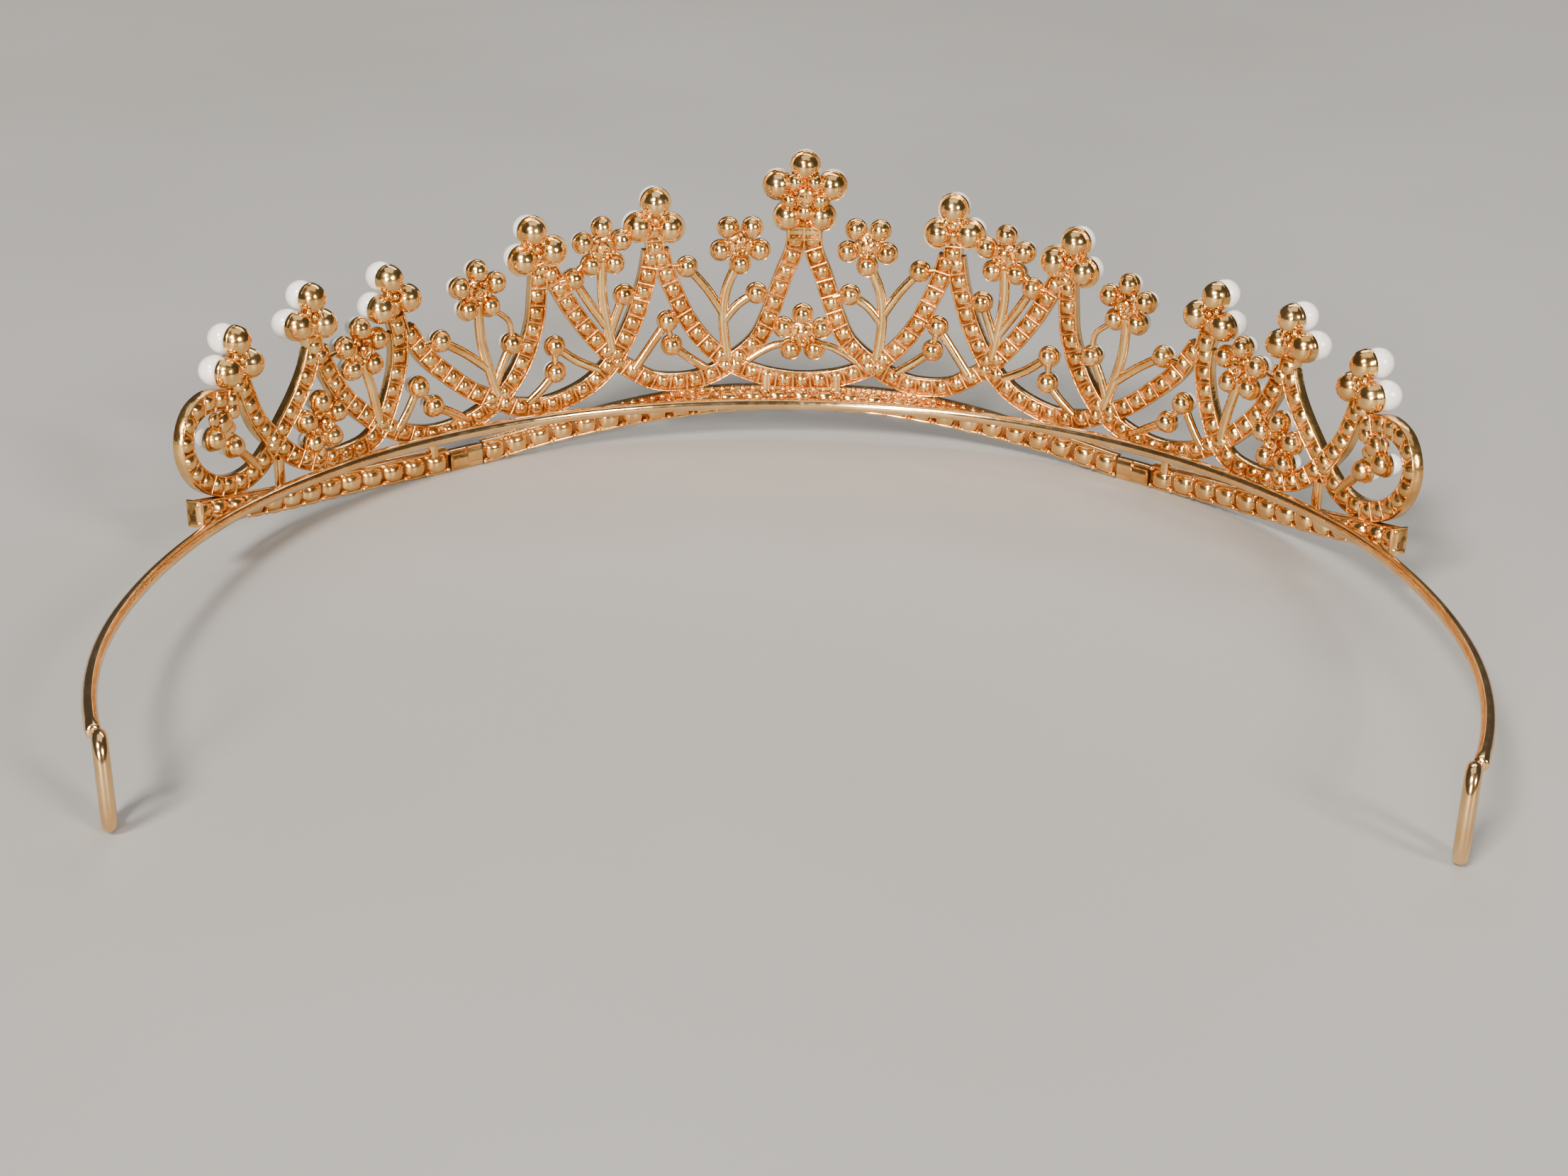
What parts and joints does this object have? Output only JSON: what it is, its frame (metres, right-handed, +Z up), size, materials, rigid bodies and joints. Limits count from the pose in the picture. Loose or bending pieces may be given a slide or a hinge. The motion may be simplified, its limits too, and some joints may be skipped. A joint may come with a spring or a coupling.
{
  "type": "tiara",
  "caption": "Gold tiara with pearl crests on pointed garlands, blossom sprigs between them, and a springy wire headband that ends in pin loops.",
  "frame": {"origin": "middle of the footprint's bounding box, on the table", "axes": "+Z up from the table, +X to the wearer's left along the widest way, -Y out of the front of the tiara"},
  "size_m": [0.1556, 0.1254, 0.0428],
  "materials": {
    "frieze_gold": "polished champagne gold, cast and filed",
    "rail_gold": "polished champagne gold strip",
    "wire_gold": "drawn and polished gold wire",
    "pearl": "satin white nacre"
  },
  "bodies": {
    "root": {"garland_0": "frieze_gold", "garland_1_left": "frieze_gold", "garland_1_right": "frieze_gold", "garland_2_left": "frieze_gold", "garland_2_right": "frieze_gold", "garland_3_left": "frieze_gold", "garland_3_right": "frieze_gold", "garland_4_left": "frieze_gold", "garland_4_right": "frieze_gold", "scroll_left": "frieze_gold", "scroll_right": "frieze_gold", "crest_0": "frieze_gold", "crest_pearls_0": "pearl", "crest_1_left": "frieze_gold", "crest_1_right": "frieze_gold", "crest_pearls_1_left": "pearl", "crest_pearls_1_right": "pearl", "crest_2_left": "frieze_gold", "crest_2_right": "frieze_gold", "crest_pearls_2_left": "pearl", "crest_pearls_2_right": "pearl", "crest_3_left": "frieze_gold", "crest_3_right": "frieze_gold", "crest_pearls_3_left": "pearl", "crest_pearls_3_right": "pearl", "crest_4_left": "frieze_gold", "crest_4_right": "frieze_gold", "crest_pearls_4_left": "pearl", "crest_pearls_4_right": "pearl", "crest_5_left": "frieze_gold", "crest_5_right": "frieze_gold", "crest_pearls_5_left": "pearl", "crest_pearls_5_right": "pearl", "sprig_1_left": "frieze_gold", "sprig_1_right": "frieze_gold", "sprig_2_left": "frieze_gold", "sprig_2_right": "frieze_gold", "sprig_3_left": "frieze_gold", "sprig_3_right": "frieze_gold", "sprig_4_left": "frieze_gold", "sprig_4_right": "frieze_gold", "twig_1_left": "frieze_gold", "twig_1_right": "frieze_gold", "twig_2_left": "frieze_gold", "twig_2_right": "frieze_gold", "twig_3_left": "frieze_gold", "twig_3_right": "frieze_gold", "centre_blossom": "frieze_gold", "side_blossom_left": "frieze_gold", "side_blossom_right": "frieze_gold", "base_rail_centre": "rail_gold", "rail_joint_left": "rail_gold", "rail_joint_right": "rail_gold", "base_rail_left": "rail_gold", "base_rail_right": "rail_gold", "headband_wire": "wire_gold"},
    "arm_left": {"headband_arm_left": "wire_gold", "pin_loop_left": "wire_gold"},
    "arm_right": {"headband_arm_right": "wire_gold", "pin_loop_right": "wire_gold"}
  },
  "joints": [
    {"name": "arm_left_flex", "type": "hinge", "parent": "root", "child": "arm_left", "pos_m": [0.07453, 0.00384, 0.00793], "axis": [0, 0, -1], "range_deg": [-3, 6], "stiffness_Nm_per_rad": 1.5},
    {"name": "arm_right_flex", "type": "hinge", "parent": "root", "child": "arm_right", "pos_m": [-0.07453, 0.00384, 0.00793], "axis": [0, 0, 1], "range_deg": [-3, 6], "stiffness_Nm_per_rad": 1.5}
  ]
}
